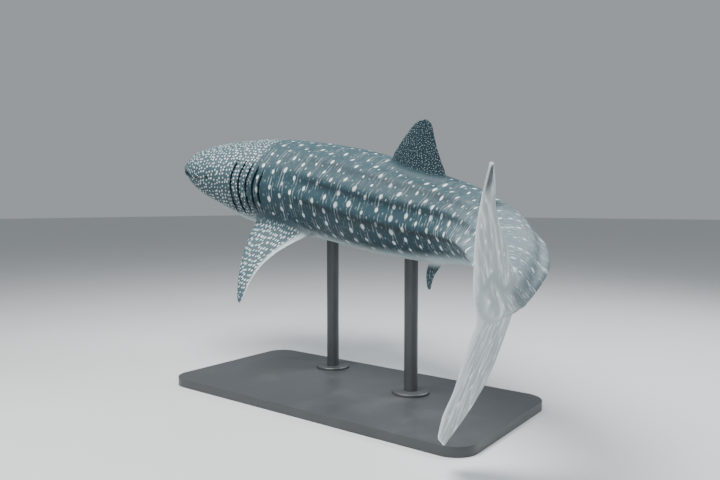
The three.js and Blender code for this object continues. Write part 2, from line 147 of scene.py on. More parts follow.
def point(s, left_by, up_by):
    at, _, left, up = frame_at(s)
    return at + left * (left_by * UNIT) + up * (up_by * UNIT)


# angles run in degrees from the middle of the back, over the left side, to the middle of the belly
RIDGES = (26, 52)
RIDGE_WIDTH = 9
SIDE_STEPS = (8, 8, 8, 18)
GILLS = (13.9, 15.7, 17.4, 19.0, 20.5)
GILL_TOP = (52, 53, 55, 58, 62)
GILL_END = (122, 120, 117, 113, 108)
GILL_EASE = 6
GILL_BOW = 0.5
FLAP_LENGTH, FLAP_RISE = 0.9, 0.16
SLIT_LENGTH, SLIT_DEPTH = 0.35, 0.2
HEAD_SQUARENESS = 0.45


def low_ridge(s):
    return 78 + 12 * ramp(35, 72, s)


def ring_angles(s):
    """The angles of a ring of points, even between one ridge and the next."""
    stops = (0, *RIDGES, low_ridge(s), 180)
    half = []
    for k, steps in enumerate(SIDE_STEPS):
        half += [stops[k] + (stops[k + 1] - stops[k]) * i / steps for i in range(steps)]
    half.append(180)
    return half + [360 - a for a in half[-2:0:-1]]


def gill_reach(k, side):
    """1 over the height of one gill opening, 0 above and below it."""
    top, end = GILL_TOP[k], GILL_END[k]
    return ramp(top - GILL_EASE, top + GILL_EASE, side) * (1 - ramp(end - GILL_EASE, end + GILL_EASE, side))


def relief(s, side):
    """How far gill flaps, ridges, keel and crest stand out of the plain body."""
    total = 0.0
    for k, slit in enumerate(GILLS):
        if slit - FLAP_LENGTH < s <= slit:
            total += FLAP_RISE * gill_reach(k, side) * (s - slit + FLAP_LENGTH) / FLAP_LENGTH
        if slit < s < slit + SLIT_LENGTH:
            total -= SLIT_DEPTH * gill_reach(k, side) * (1 - (s - slit) / SLIT_LENGTH)
    ridge = 0.32 * ramp(16, 28, s) * (1 - ramp(58, 68, s))
    for angle in RIDGES:
        total += ridge * swell(side, angle, RIDGE_WIDTH)
    keel = 0.34 * ramp(18, 30, s) + 0.55 * ramp(60, 70, s) * (1 - ramp(73, 81, s))
    total += keel * swell(side, low_ridge(s), RIDGE_WIDTH + 4 * ramp(58, 70, s))
    crest = 0.45 * ramp(24, 38, s) * (1 - ramp(58, 66, s))
    return total + crest * swell(side, 0, RIDGE_WIDTH)


def skin_point(s, angle, grow=0.0):
    """A point of the skin at a station and an angle, grown outward by some metres."""
    side = 360 - angle if angle > 180 else angle
    power = 2 / (2 + HEAD_SQUARENESS * (1 - ramp(4, 22, s)))
    x = abs(math.sin(math.radians(side))) ** power * half_width(s)
    y = abs(math.cos(math.radians(side))) ** power * (back_height(s) if side < 90 else -belly_depth(s))
    scale = 1 + (relief(s, side) + grow / UNIT) / math.hypot(x, y)
    near_gills = ramp(12.9, 14, s) * (1 - ramp(20.5, 22, s))
    bow = -GILL_BOW * near_gills * ramp(48, 85, side) * (1 - ramp(85, 126, side))
    return point(s + bow, (-x if angle > 180 else x) * scale, y * scale)


# how many columns of spots lie in front of a station, and how far it lies along the skin
SPACING = [(0, 2.6), (25, 2.75), (50, 2.7), (60, 2.4), (70, 2.0), (80, 1.6), (95, 1.4)]
spacing = curve(SPACING, 1)
columns, lengths = [0.0], [0.0]
for k in range(SPINE_STEPS):
    s = (k + 0.5) * STEP
    columns.append(columns[-1] + STEP / spacing(s))
    grown = sum(f(s + 0.12) - f(s - 0.12) if s > 0.2 else 0.6 for f in (half_width, back_height)) / 2
    lengths.append(lengths[-1] + math.hypot(STEP, grown * STEP / 0.24) * UNIT)


def looked_up(table, s):
    place = max(s, 0) / STEP
    i = min(int(place), len(table) - 2)
    return table[i] + (table[i + 1] - table[i]) * (place - i)


# pattern: columns along and rows round the body, or out along and across a fin. arc: metres along and
# round, or across and out. zone: kind of surface and which face of it. shade: painted shade and share of tail
MAPS = ("pattern", "arc", "zone", "shade")
ROWS = 10.5
LIPS, BODY, SPOTTED, SPECKLED, LOBE = -1.0, 0.0, 1.0, 2.0, 3.0


def built(name, points, faces, maps):
    """A mesh piece from points and faces, with one pair of map values for each point."""
    mesh = bpy.data.meshes.new(name)
    mesh.from_pydata(points, [], faces)
    for key in MAPS:
        layer = mesh.uv_layers.new(name=key, do_init=False)
        for loop in mesh.loops:
            layer.data[loop.index].uv = maps[key][loop.vertex_index]
    mesh.update()
    piece = bpy.data.objects.new(name, mesh)
    bpy.context.collection.objects.link(piece)
    return piece


# rings stand close at the snout and at the gill openings, and further apart behind them
SNOUT_ROWS = (0, 0.03, 0.08, 0.15, 0.25, 0.35, 0.47, 0.6, 0.8, 1.0, 1.25, 1.5, 1.75)
GILL_ROWS = (-0.88, -0.6, -0.3, -0.1, 0, 0.05, 0.15, 0.36)
HEAD_START, HEAD_ROW, HEAD_ROWS = 2, 0.25, 44
TRUNK_START, TRUNK_ROW, TRUNK_ROWS = 21, 0.45, 132
TAIL_ROOT = 80.5
stations = [*SNOUT_ROWS, *(HEAD_START + HEAD_ROW * k for k in range(HEAD_ROWS))]
stations += [slit + row for slit in GILLS for row in GILL_ROWS]
stations = sorted(set(s for s in stations if s < TRUNK_START))
stations += [TRUNK_START + TRUNK_ROW * k for k in range(TRUNK_ROWS)]
stations.append(TAIL_ROOT)

points, faces = [], []
maps = {key: [] for key in MAPS}


def ring_maps(s, ring, tail=0.0):
    """The map values of a ring: its place in the pattern, along and round the skin, and its painted shade."""
    angles = ring_angles(min(s, TAIL_ROOT))
    half = len(angles) // 2
    round_by = [0.0] * len(angles)
    for i in range(1, half + 1):
        round_by[i] = round_by[i - 1] + (ring[i] - ring[i - 1]).length
        mirror = len(angles) - i
        back = (ring[mirror] - ring[(mirror + 1) % len(angles)]).length
        round_by[mirror if i < half else i] = round_by[(mirror + 1) % len(angles)] + back
    # painted shade: dark bands just under the ridges and along each gill slit
    ridge_shadow_span = ramp(24, 34, s) * (1 - ramp(64, 76, s))
    for angle, reached in zip(angles, round_by):
        side = 360 - angle if angle > 180 else angle
        maps["pattern"].append((looked_up(columns, s), side / 180 * ROWS))
        maps["arc"].append((looked_up(lengths, s), reached))
        maps["zone"].append((BODY, 1.0 if angle > 180 else 0.0))
        shade = 0.0
        for ridge, strength in ((RIDGES[0], 0.45), (RIDGES[1], 0.9), (low_ridge(s), 0.9)):
            shade += strength * ridge_shadow_span * swell(side, ridge + 7, 4.5)
        for k, slit in enumerate(GILLS):
            shade += gill_reach(k, side) * swell(s, slit + 0.05, 0.13)
        maps["shade"].append((min(shade, 1), tail))


for s in stations:
    ring = [skin_point(s, angle) for angle in ring_angles(s)]
    points += ring
    ring_maps(s, ring, 0.25 * ramp(78.5, TAIL_ROOT, s))

tail_at = frame_at(TAIL_ROOT)[0]
tail_along, tail_left, tail_up = axes_at(90)


def tail_point(along, up, left=0.0):
    return tail_at + (tail_along * along + tail_up * up + tail_left * left) * UNIT


# the end of the trunk turns up into the upper lobe
CORE_STEPS = 14
CORE_LENGTH, CORE_HEIGHT, CORE_RISE = 5.2, 5.6, 48
CORE_END_WIDTH, CORE_KEEL = 0.35, 0.34
start_along, start_left = axes_at(TAIL_ROOT)[:2]
for k in range(1, CORE_STEPS + 1):
    v = k / CORE_STEPS
    turned = ramp(0, 0.5, v)
    rise = math.radians(CORE_RISE * v)
    along = start_along.lerp(tail_along, turned).normalized()
    sideways = start_left.lerp(tail_left, turned).normalized()
    upward = sideways.cross(along).normalized()
    tall = upward * math.cos(rise) - along * math.sin(rise)
    centre = tail_point(CORE_LENGTH * v, CORE_HEIGHT * v * v)
    wide = mix(half_width(TAIL_ROOT), CORE_END_WIDTH, v**0.8) * UNIT
    keel = CORE_KEEL * (1 - ramp(0, 0.7, v)) * UNIT
    high = mix(1, 0.75, v) * UNIT
    ring = []
    for angle in ring_angles(TAIL_ROOT):
        a = math.radians(angle)
        side = 360 - angle if angle > 180 else angle
        reach = high * (back_height(TAIL_ROOT) if side < 90 else belly_depth(TAIL_ROOT))
        out = keel * swell(side, 90, RIDGE_WIDTH)
        ring.append(centre + sideways * (math.sin(a) * (wide + out)) + tall * (math.cos(a) * reach))
    points += ring
    ring_maps(TAIL_ROOT + 6 * v, ring, 0.25 + 0.75 * ramp(0, 0.4, v))

count = len(ring_angles(1))
rings = len(points) // count
for j in range(rings - 1):
    for i in range(count):
        a, b = j * count + i, j * count + (i + 1) % count
        faces.append((a, b, b + count, a + count))
for j in (0, rings - 1):
    members = range(j * count, (j + 1) * count)
    middle = Vector((0, 0, 0))
    for i in members:
        middle += points[i] / count
    points.append(middle)
    for key in MAPS:
        maps[key].append(tuple(sum(maps[key][i][axis] for i in members) / count for axis in (0, 1)))
    for i in range(count):
        a, b = j * count + i, j * count + (i + 1) % count
        faces.append((len(points) - 1, b, a) if j == 0 else (len(points) - 1, a, b))
skin = built("skin", points, faces, maps)


def outward(piece):
    """Turns the faces of a closed piece outward if its volume comes out below nothing."""
    mesh = piece.data
    volume = 0.0
    for polygon in mesh.polygons:
        corners = [mesh.vertices[i].co for i in polygon.vertices]
        for k in range(1, len(corners) - 1):
            volume += corners[0].dot(corners[k].cross(corners[k + 1]))
    if volume < 0:
        mesh.flip_normals()
    return piece


# each fin is a thick blade, rounded in front and at the tip, with a wider foot in the body
ROUND_TIP = 0.9
FOOT_REACH = 0.12
BLADE_EDGE = 0.0022


def blade(name, lead, trail, thick, face, kind, across=18, out=34, flare=0.9):
    """A fin between its front and rear edge, which are functions of the way out from 0 to 1."""
    upper = 1 if face(0.5).z > 0 else -1
    points, faces = [], []
    maps = {key: [] for key in MAPS}
    for sign in (1, -1):
        for j in range(out + 1):
            v = 1 - (1 - j / out) ** 1.4
            pinch = max(0.0, v - ROUND_TIP) / (1.004 - ROUND_TIP)
            narrowed = 0.5 - 0.5 * math.sqrt(1 - pinch**2)
            a = lead(v).lerp(trail(v), narrowed)
            b = trail(v).lerp(lead(v), narrowed)
            foot = 1 + flare * swell(v, 0, FOOT_REACH)
            forward = (trail(0.3) - lead(0)).normalized()
            for i in range(across + 1):
                c = (1 - math.cos(math.pi * i / across)) / 2
                hump = math.sqrt(c) * (1 - c) ** 0.8 * 2.1
                half = BLADE_EDGE + thick(v) / 2 * hump * foot
                points.append(a.lerp(b, c) + face(v) * (sign * half))
                aside = c * (b - a).length + (a - lead(0)).dot(forward)
                maps["pattern"].append((v, c))
                maps["arc"].append((aside, v * (lead(1) - lead(0)).length))
                maps["zone"].append((kind, 1.0 if sign == upper else 0.0))
                maps["shade"].append((0.0, 1.0 if kind == LOBE else 0.0))
    n = across + 1
    far = n * (out + 1)
    for j in range(out):
        for i in range(across):
            a = j * n + i
            faces.append((a, a + 1, a + n + 1, a + n))
            faces.append((far + a, far + a + n, far + a + n + 1, far + a + 1))
        e = j * n
        faces.append((e, e + n, far + e + n, far + e))
        faces.append((e + n - 1, far + e + n - 1, far + e + 2 * n - 1, e + 2 * n - 1))
    top = out * n
    for i in range(across):
        faces.append((i, far + i, far + i + 1, i + 1))
        faces.append((top + i, top + i + 1, far + top + i + 1, far + top + i))
    return outward(built(name, points, faces, maps))


def middle_fin(name, root, tip, height, hook, bow, sink, thickness, below=False, **net):
    """A fin on the middle line. Root and tip give the stations of their front and rear ends."""
    sign = -1 if below else 1
    rim = (belly_depth if below else back_height)(sum(root) / 2) - sink

    def edge(a, b, bulge):
        def at(v):
            return point(mix(a, b, v) + bulge * math.sin(math.pi * v), 0, sign * (rim + (height + sink) * v))

        return at

    level = frame_at(sum(root) / 2)[2]
    return blade(name, edge(root[0], tip[0], -bow), edge(root[1], tip[1], -hook),
                 lambda v: thickness * UNIT * (1 - 0.8 * v), lambda v: level, SPECKLED, **net)


def paired_fin(name, side, root, angle, back, away, down, hook, bow, thickness, sink, tip_chord, kind, **net):
    """A fin at one side. Its tip lies back, away and down from the front of its root."""
    def root_point(s):
        out, low = math.sin(math.radians(angle)), math.cos(math.radians(angle))
        return s, out * half_width(s) - sink, low * belly_depth(s)

    s0, x0, y0 = root_point(root[0])
    s1, x1, y1 = root_point(root[1])

    def outward_by(x, v):
        return side * (mix(x, x0 + away, v) + bow * math.sin(math.pi * v))

    def lead(v):
        return point(mix(s0, s0 + back, v**1.25), outward_by(x0, v), mix(y0, y0 - down, v))

    def trail(v):
        along = mix(s1, s0 + back + tip_chord, v) - hook * math.sin(math.pi * v**0.8)
        return point(along, outward_by(x1, v), mix(y1, y0 - down, v))

    def face(v):
        chord = (trail(v) - lead(v)).normalized()
        span = (lead(min(v + 0.05, 1)) - lead(max(v - 0.05, 0))).normalized()
        return chord.cross(span).normalized()

    return blade(name, lead, trail, lambda v: thickness * UNIT * (1 - 0.85 * v), face, kind, **net)


def tail_lobe(name, rows, thickness, twist):
    """A lobe of the tail fin from rows of its front and rear edge, with its plane twisted outward."""
    lead_along, lead_up, trail_along, trail_up = (curve(rows, k) for k in (1, 2, 3, 4))

    def turned(along, up):
        angle = math.radians(twist) * min(1, abs(up) / 12)
        return tail_point(along * math.cos(angle), up, along * math.sin(angle))

    def lead(v):
        return turned(lead_along(v), lead_up(v))

    def trail(v):
        return turned(trail_along(v), trail_up(v))

    return blade(name, lead, trail, lambda v: thickness * UNIT * (1 - 0.85 * math.sqrt(v)),
                 lambda v: tail_left, LOBE, across=22, out=44, flare=0.3)


# the way out from root to tip, then how far the front edge lies back and up, and the rear edge
UPPER_LOBE = [
    (0, -3.6, -0.8, 4.0, -1.2), (0.15, -1.7, 2.0, 5.0, 2.2), (0.3, 0.3, 4.5, 6.6, 4.8),
    (0.5, 3.0, 8.0, 7.9, 8.1), (0.65, 5.0, 10.4, 8.9, 10.9), (0.8, 7.0, 13.0, 9.5, 13.2),
    (0.9, 8.0, 15.0, 9.7, 15.0), (1, 9.0, 17.3, 9.9, 17.2),
]
LOWER_LOBE = [
    (0, -3.2, 0.2, 4.2, 0.8), (0.15, -3.9, -3.4, 4.3, -1.6), (0.35, -3.3, -7.0, 4.0, -5.0),
    (0.6, -2.2, -11.0, 3.8, -8.8), (0.8, -0.6, -14.4, 4.2, -12.8), (0.9, 0.7, -16.0, 4.1, -15.2),
    (1, 2.3, -17.8, 3.1, -17.7),
]
SMALL_FIN = {"across": 12, "out": 18}
fins = [
    middle_fin("first_dorsal", root=(41, 55.2), tip=(49.4, 52), height=6.8, hook=0.6, bow=0.7, sink=1.2,
               thickness=1.6),
    middle_fin("second_dorsal", root=(61.8, 65.6), tip=(64.4, 65.4), height=3.1, hook=0.5, bow=0.2, sink=0.8,
               thickness=0.8, **SMALL_FIN),
    middle_fin("anal", root=(67.2, 70.6), tip=(70, 70.9), height=3, hook=0.5, bow=0.2, sink=0.8,
               thickness=0.8, below=True, **SMALL_FIN),
    tail_lobe("upper_lobe", UPPER_LOBE, thickness=1.5, twist=0),
    tail_lobe("lower_lobe", LOWER_LOBE, thickness=1.4, twist=12),
]
for side in (1, -1):
    fins.append(paired_fin("pectoral", side, root=(17.4, 31.8), angle=128, back=6.6, away=11.1, down=9.1,
                           hook=3.4, bow=1.2, thickness=1.7, sink=1.0, tip_chord=1.2, kind=SPOTTED))
    # the pelvic fins take the dark speckled tone: partly their own colour, partly painted shade under the
    # belly
    fins.append(paired_fin("pelvic", side, root=(53.4, 56.9), angle=146, back=3.2, away=2.4, down=2.6,
                           hook=0.5, bow=0.3, thickness=0.7, sink=0.6, tip_chord=0.8, kind=SPECKLED,
                           **SMALL_FIN))


def joined(other, operation):
    """Fuses another closed piece to the skin, or cuts the skin with it."""
    modifier = skin.modifiers.new("fuse", "BOOLEAN")
    modifier.operation = operation
    modifier.solver = "MANIFOLD"
    modifier.object = other
    bpy.ops.object.select_all(action="DESELECT")
    bpy.context.view_layer.objects.active = skin
    skin.select_set(True)
    bpy.ops.object.modifier_apply(modifier="fuse")
    bpy.data.objects.remove(other)


outward(skin)
for fin in fins:
    joined(fin, "UNION")

# the skin runs over from the body to each fin in a soft hollow
mesh = skin.data
zone = mesh.uv_layers["zone"].data
kinds = [set() for _ in mesh.vertices]
for loop in mesh.loops:
    kinds[loop.vertex_index].add(round(zone[loop.index].uv[0]))
for vertex in mesh.vertices:
    vertex.select = len(kinds[vertex.index]) > 1
for edge in mesh.edges:
    edge.select = False
for polygon in mesh.polygons:
    polygon.select = False
bpy.context.view_layer.objects.active = skin
bpy.ops.object.mode_set(mode="EDIT")
bpy.ops.mesh.select_mode(type="VERT")
for wider, times_over in ((2, 8), (1, 6)):
    for _ in range(wider):
        bpy.ops.mesh.select_more()
    bpy.ops.mesh.vertices_smooth(factor=0.5, repeat=times_over)
bpy.ops.object.mode_set(mode="OBJECT")

# near the root of each fin the colours run into each other: how near, and how pale the body is there
SEAM_REACH = 0.06
mesh = skin.data
zone = mesh.uv_layers["zone"].data
pattern = mesh.uv_layers["pattern"].data
paleness = {}
for loop in mesh.loops:
    at = loop.vertex_index
    if len(kinds[at]) > 1 and round(zone[loop.index].uv[0]) == BODY:
        to_tail = (mesh.vertices[at].co - tail_at).length
        low_down = ramp(0.66, 0.8, pattern[loop.index].uv[1] / ROWS)
        paleness[at] = max(low_down, 0.85 * (1 - ramp(0.45, 0.7, to_tail)))
beside = [[] for _ in mesh.vertices]
for edge in mesh.edges:
    a, b = edge.vertices
    reach = (mesh.vertices[a].co - mesh.vertices[b].co).length
    beside[a].append((b, reach))
    beside[b].append((a, reach))
gone = {at: 0.0 for at in paleness}
waiting = [(0.0, at) for at in paleness]
while waiting:
    so_far, at = heapq.heappop(waiting)
    if so_far > gone[at]:
        continue
    for other, reach in beside[at]:
        if so_far + reach < min(SEAM_REACH, gone.get(other, SEAM_REACH)):
            gone[other] = so_far + reach
            paleness[other] = paleness[at]
            heapq.heappush(waiting, (so_far + reach, other))
seam_map = mesh.uv_layers.new(name="seam", do_init=False)
for loop in mesh.loops:
    at = loop.vertex_index
    seam_map.data[loop.index].uv = (1 - gone.get(at, SEAM_REACH) / SEAM_REACH, paleness.get(at, 0.0))

# the mouth runs round the front of the head: a lip above and below, and the closed slit between them
MOUTH_STATIONS = (
    3.9, 3.55, 3.2, 2.85, 2.5, 2.2, 1.9, 1.65, 1.4, 1.2, 1.0,
    0.85, 0.7, 0.57, 0.45, 0.36, 0.28, 0.21, 0.15, 0.1, 0.06,
)
LIP_RADIUS, MOUTH_SLIT_RADIUS = 0.026, 0.013
LIP_LIFT = 3.6


def mouth_line(lift, out):
    """Points round the mouth from its right corner to its left, lifted by an angle that grows forward."""
    right, left = [], []
    for s in MOUTH_STATIONS:
        corner = 93 + 5 * ramp(1.5, 3.9, s)
        higher = lift / (0.4 + s * 0.25)
        right.append(skin_point(s, 360 - corner + higher, out))
        left.append(skin_point(s, corner - higher, out))
    return right + left[::-1]


# lips, rims and openings take their colours from one place on the side of the head
PLAIN_PATTERN = (1.0, 5.4)
PLAIN_ARC = (0.3, 0.3)


def roll(name, line, radius, sides=12, shade=0.0):
    """A round roll along a line, with tapered ends. Shade 1 paints the shade inside an opening."""
    points, faces = [], []
    up = axes_at(0)[2]
    last = len(line) - 1
    for j, at in enumerate(line):
        along = (line[min(j + 1, last)] - line[max(j - 1, 0)]).normalized()
        out = along.cross(up).normalized()
        over = out.cross(along).normalized()
        size = radius * min(1, 0.3 + 0.1 * min(j, last - j))
        for i in range(sides):
            a = 2 * math.pi * i / sides
            points.append(at + (out * math.cos(a) + over * math.sin(a)) * size)
    for j in range(last):
        for i in range(sides):
            a, b = j * sides + i, j * sides + (i + 1) % sides
            faces.append((a, b, b + sides, a + sides))
    faces.append(tuple(range(sides))[::-1])
    faces.append(tuple(range(last * sides, (last + 1) * sides)))
    flat = {
        "pattern": [PLAIN_PATTERN] * len(points),
        "arc": [(PLAIN_ARC[0] + 0.2 * k / len(points), PLAIN_ARC[1]) for k in range(len(points))],
        "zone": [(LIPS, 0.0)] * len(points),
        "shade": [(shade, 0.0)] * len(points),
    }
    return outward(built(name, points, faces, flat))


joined(roll("upper_lip", mouth_line(LIP_LIFT, -0.010), LIP_RADIUS), "UNION")
joined(roll("lower_lip", mouth_line(-LIP_LIFT, -0.012), LIP_RADIUS), "UNION")
# the slit is cut with painted shade on the skin inside it
joined(roll("mouth_slit", mouth_line(0, 0.002), MOUTH_SLIT_RADIUS, shade=1.0), "DIFFERENCE")


def ball(name, centre, radius, segments, shade=0.0):
    """A ball that shapes the skin: fused to it as a knob or rim, or cut out of it as an opening with painted
    shade.
    """
    bpy.ops.mesh.primitive_uv_sphere_add(segments=segments, ring_count=segments // 2, radius=radius)
    piece = bpy.context.object
    piece.name = name
    piece.data.transform(Matrix.Translation(centre))
    while piece.data.uv_layers:
        piece.data.uv_layers.remove(piece.data.uv_layers[0])
    values = {"pattern": PLAIN_PATTERN, "arc": PLAIN_ARC, "zone": (LIPS, 0.0), "shade": (shade, 0.0)}
    for key in MAPS:
        layer = piece.data.uv_layers.new(name=key, do_init=False)
        for loop in layer.data:
            loop.uv = values[key]
    return piece


# by station and angle, and how far out: openings and knobs beside the mouth and behind the eye
NOSTRIL, NOSTRIL_FLAP, SPIRACLE = (0.75, 76, -0.002), (0.55, 70, -0.006), (7.6, 88, 0.002)
NOSTRIL_RADIUS, SPIRACLE_RADIUS = 0.013, 0.017
EYE_STATION, EYE_ANGLE, EYE_RADIUS, EYE_PROUD = 5.2, 92, 0.027, 0.014
EYE_GAP, EYE_RIM, RIM_DEPTH = 0.0004, 0.011, 0.017


def on_side(side, s, angle, out=0.0):
    """A point of the skin on the left (side 1) or on the right (side -1)."""
    return skin_point(s, angle if side > 0 else 360 - angle, out)


def eye_centre(side):
    return on_side(side, EYE_STATION, EYE_ANGLE) + axes_at(EYE_STATION)[1] * (side * (EYE_PROUD - EYE_RADIUS))


# each side of the head: nostril and its flap, spiracle, and the rim and socket of the eye; openings carry
# painted shade
for side in (1, -1):
    rim_centre = eye_centre(side) - axes_at(EYE_STATION)[1] * (side * RIM_DEPTH)
    joined(ball("nostril", on_side(side, *NOSTRIL), NOSTRIL_RADIUS, 16, shade=1.0), "DIFFERENCE")
    joined(ball("nostril_flap", on_side(side, *NOSTRIL_FLAP), NOSTRIL_RADIUS, 16), "UNION")
    joined(ball("spiracle", on_side(side, *SPIRACLE), SPIRACLE_RADIUS, 20, shade=1.0), "DIFFERENCE")
    joined(ball("eye_rim", rim_centre, EYE_RADIUS + EYE_RIM, 36), "UNION")
    joined(ball("eye_socket", eye_centre(side), EYE_RADIUS + EYE_GAP, 32, shade=1.0), "DIFFERENCE")

bpy.ops.object.select_all(action="DESELECT")
bpy.context.view_layer.objects.active = skin
skin.select_set(True)
bpy.ops.object.shade_smooth_by_angle(angle=math.radians(38))


def new_material(name):
    """A material with no nodes yet. The functions below add theirs to the tree set last."""
    made = bpy.data.materials.new(name)
    made.use_nodes = True
    made.node_tree.nodes.clear()
    return made, made.node_tree


hide, tree = new_material("hide")


def fed(socket, given):
    """Links a socket to another node's output, or sets it to a fixed value."""
    if isinstance(given, bpy.types.NodeSocket):
        tree.links.new(given, socket)
    else:
        socket.default_value = given


def node(kind, inputs=None, **settings):
    made = tree.nodes.new(kind)
    for key, value in settings.items():
        setattr(made, key, value)
    for name, given in (inputs or {}).items():
        fed(made.inputs[name], given)
    return made


def reckoned(operation, a, b=0.0, clamp=False):
    return node("ShaderNodeMath", operation=operation, use_clamp=clamp, inputs={0: a, 1: b}).outputs[0]


def chained(operation, values):
    result = values[0]
    for value in values[1:]:
        result = reckoned(operation, result, value)
    return result


def plus(*values):
    return chained("ADD", values)


def times(*values):
    return chained("MULTIPLY", values)


def largest(*values):
    return chained("MAXIMUM", values)


def minus(a, b):
    return reckoned("SUBTRACT", a, b)


def squared(value):
    return reckoned("POWER", value, 2.0)


def stepped(value, low, high):
    """0 below low, 1 over high, smooth between."""
    limits = {"Value": value, "From Min": low, "From Max": high}
    return node("ShaderNodeMapRange", interpolation_type="SMOOTHSTEP", inputs=limits).outputs["Result"]


def split(vector):
    return node("ShaderNodeSeparateXYZ", inputs={0: vector}).outputs


def vector_of(x, y, z=0.0):
    return node("ShaderNodeCombineXYZ", inputs={0: x, 1: y, 2: z}).outputs[0]


def blended(factor, first, second):
    """A colour between two others, each a colour or the output of a node."""
    made = node("ShaderNodeMix", data_type="RGBA", inputs={0: factor})
    for socket, given in ((made.inputs[6], first), (made.inputs[7], second)):
        fed(socket, (*given, 1) if isinstance(given, tuple) else given)
    return made.outputs[2]


def noise(vector, scale, detail=3.0, rough=0.55):
    settings = {"Vector": vector, "Scale": scale, "Detail": detail, "Roughness": rough}
    return node("ShaderNodeTexNoise", noise_dimensions="3D", inputs=settings).outputs["Fac"]


def dots(vector, scale, low, high, randomness):
    """Round dots of unlike sizes, soft from high to low."""
    settings = {"Vector": vector, "Scale": scale, "Randomness": randomness}
    cells = node("ShaderNodeTexVoronoi", voronoi_dimensions="2D", inputs=settings)
    size = times(split(cells.outputs["Color"])[0], 0.1)
    return stepped(plus(cells.outputs["Distance"], size), high, low)


def map_values(name):
    return split(node("ShaderNodeUVMap", uv_map=name).outputs[0])


def raised(height, strength, distance, below=None):
    """Relief in the shading, over the relief below it."""
    settings = {"Strength": strength, "Distance": distance, "Height": height}
    if below is not None:
        settings["Normal"] = below
    return node("ShaderNodeBump", inputs=settings).outputs[0]


u, v, _ = map_values("pattern")
arc_x, arc_y, _ = map_values("arc")
kind, face_side, _ = map_values("zone")
shadow, tail, _ = map_values("shade")
seam, pale_seam, _ = map_values("seam")
place = node("ShaderNodeTexCoord").outputs["Object"]

not_lips = stepped(kind, -0.6, -0.4)
on_spotted = times(stepped(kind, 0.4, 0.6), stepped(kind, 1.6, 1.4))
on_speckled = times(stepped(kind, 1.4, 1.6), stepped(kind, 2.6, 2.4))
on_lobe = stepped(kind, 2.4, 2.6)

# body: columns of spots, each in its own cell and set a little off its middle
round_body = reckoned("DIVIDE", v, ROWS)
wave = times(minus(noise(place, 2.2, 2.0), 0.5), 0.35)
along_body = plus(u, wave)
column = reckoned("FLOOR", along_body)
behind = stepped(u, 14.0, 28.0)
on_back = stepped(round_body, 0.34, 0.22)
rear = stepped(u, looked_up(columns, 56), looked_up(columns, 74))


def spot_layer(before, beside, size, faint):
    """Oval spots in columns; each has its own size and brightness, and the rear ones are longer."""
    across = plus(along_body, before)
    number = reckoned("FLOOR", across)
    shift = times(reckoned("FLOORED_MODULO", number, 2.0), 0.5)
    down = plus(plus(plus(v, shift), times(wave, 0.8)), beside)
    seed = vector_of(number, reckoned("FLOOR", down), plus(face_side, before))
    cell = node("ShaderNodeTexWhiteNoise", noise_dimensions="3D", inputs={"Vector": seed})
    r1, r2, r3 = split(cell.outputs["Color"])[:3]
    x = plus(minus(reckoned("FRACT", across), 0.5), times(minus(r1, 0.5), 0.16))
    y = plus(minus(reckoned("FRACT", down), 0.5), times(minus(r2, 0.5), 0.24))
    grown = times(plus(0.62, times(r3, 0.5)), minus(size, times(on_back, size * 0.25)))
    wide = times(grown, minus(0.14, times(rear, 0.04)))
    tall = times(grown, plus(0.215, times(behind, 0.13), times(rear, 0.14)))
    reach = reckoned("SQRT", plus(squared(reckoned("DIVIDE", x, wide)), squared(reckoned("DIVIDE", y, tall))))
    bright = reckoned("ADD", faint, times(r1, 0.6), clamp=True)
    kept = reckoned("GREATER_THAN", r2, times(rear, 0.35))
    return times(stepped(reach, 1.25, 0.55), bright, kept)


spots = spot_layer(0.0, 0.0, 1.0, 0.5)
small_spots = times(spot_layer(0.5, 0.37, 0.5, 0.2), plus(0.35, times(on_back, 0.5)))

# body: thin broken lines across it, between and beside the columns
broken = stepped(noise(vector_of(times(u, 2.0), times(v, 1.3), 4.0), 1.0, 3.0), 0.44, 0.62)


def line_at(offset, width, strength):
    """A thin wavy line in each column, offset from its middle."""
    wander = noise(vector_of(column, times(v, 0.9), offset * 9), 1.0, 2.0)
    across = reckoned("FRACT", plus(along_body, 0.5 + offset, times(minus(wander, 0.5), 0.2)))
    return times(stepped(reckoned("ABSOLUTE", minus(across, 0.5)), width, 0.0), strength)


lines = largest(line_at(0.5, 0.07, 0.42), line_at(0.27, 0.055, 0.30), line_at(-0.25, 0.055, 0.26))
lines = times(lines, broken, minus(1.0, times(on_back, 0.45)), plus(1.0, times(rear, 0.8)))
speckle = times(stepped(noise(place, 34.0, 3.0, 0.7), 0.56, 0.78), 0.16)

# head: close-set small dots up to the gill openings
head = stepped(plus(arc_x, times(noise(place, 6.0), 0.3)), 1.36, 1.24)
head_dots = dots(vector_of(arc_x, arc_y), 25.0, 0.18, 0.33, 0.6)

# body and head: the marks fade out towards the belly, and the lips carry none
belly = stepped(round_body, 0.66, 0.8)
either = {0: head, 2: largest(spots, small_spots, lines, speckle), 3: times(head_dots, 0.8)}
marks = node("ShaderNodeMix", data_type="FLOAT", inputs=either).outputs[0]
marks = times(marks, minus(1.0, times(belly, 0.92)), not_lips)

# fins: small spots drawn out along the pectoral fins, and a fine speckle on the dark smaller ones
fin_dots = dots(vector_of(times(arc_x, 1.9), arc_y), 20.0, 0.19, 0.35, 0.55)
fine_fin = dots(vector_of(arc_x, arc_y), 46.0, 0.10, 0.30, 0.9)
margin = stepped(v, 0.86, 0.99)

# tail: a pale ground, painted light, with fine streaks and long spots that run out along its lobes
root_at = tail_at - tail_along * 0.5
from_root = node("ShaderNodeVectorMath", operation="SUBTRACT", inputs={0: place, 1: root_at}).outputs[0]


def measured(axis):
    pair = {0: from_root, 1: axis}
    return node("ShaderNodeVectorMath", operation="DOT_PRODUCT", inputs=pair).outputs["Value"]


